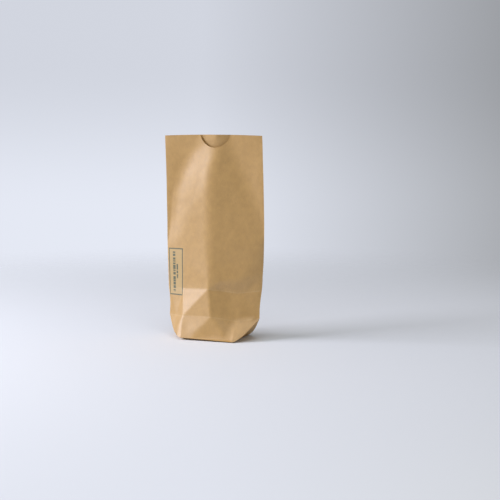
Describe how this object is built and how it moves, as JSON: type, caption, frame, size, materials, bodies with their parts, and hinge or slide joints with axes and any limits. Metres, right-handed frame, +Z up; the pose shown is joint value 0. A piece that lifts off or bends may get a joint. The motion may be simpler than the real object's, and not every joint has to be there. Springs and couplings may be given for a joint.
{
  "type": "paper lunch bag",
  "caption": "Flat brown kraft paper bag standing open on a folded six-sided base, with a thumb notch in its front ply and a glued lap down its back",
  "frame": {"origin": "middle of the base, on the table", "axes": "+Z up, -Y out of the notched front ply, +X to the right of someone facing the front"},
  "size_m": [0.129, 0.06, 0.2553],
  "materials": {
    "kraft_paper": "matt, faintly ribbed kraft paper"
  },
  "bodies": {
    "root": {"paper_bag": "kraft_paper"}
  },
  "joints": []
}
